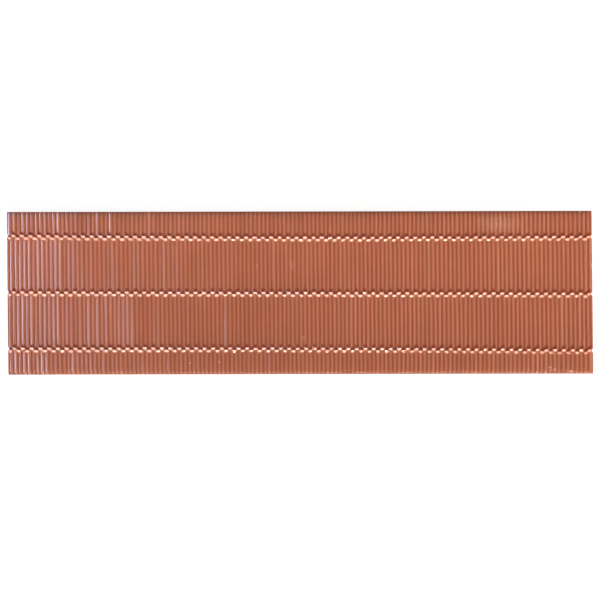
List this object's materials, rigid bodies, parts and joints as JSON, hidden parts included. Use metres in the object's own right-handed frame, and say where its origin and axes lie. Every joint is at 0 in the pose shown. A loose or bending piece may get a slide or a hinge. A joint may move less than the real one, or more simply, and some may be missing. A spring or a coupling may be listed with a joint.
{
  "type": "reeded ceramic wall tile",
  "caption": "Long glazed ceramic wall tile with a woven-look face: bands of fine cross reeds between staggered knuckle rows, eased edges and a keyed flat back for bonding.",
  "frame": {"origin": "middle of the back, on the plane that the back lands rest on", "axes": "+X along the length, +Y across the width along the reeds, +Z out of the glazed face"},
  "size_m": [0.36, 0.1, 0.0091],
  "materials": {
    "glazed_body": "satin-gloss terracotta glaze, lighter on the crests and darker in the furrows"
  },
  "bodies": {
    "root": {"tile": "glazed_body"}
  },
  "joints": []
}
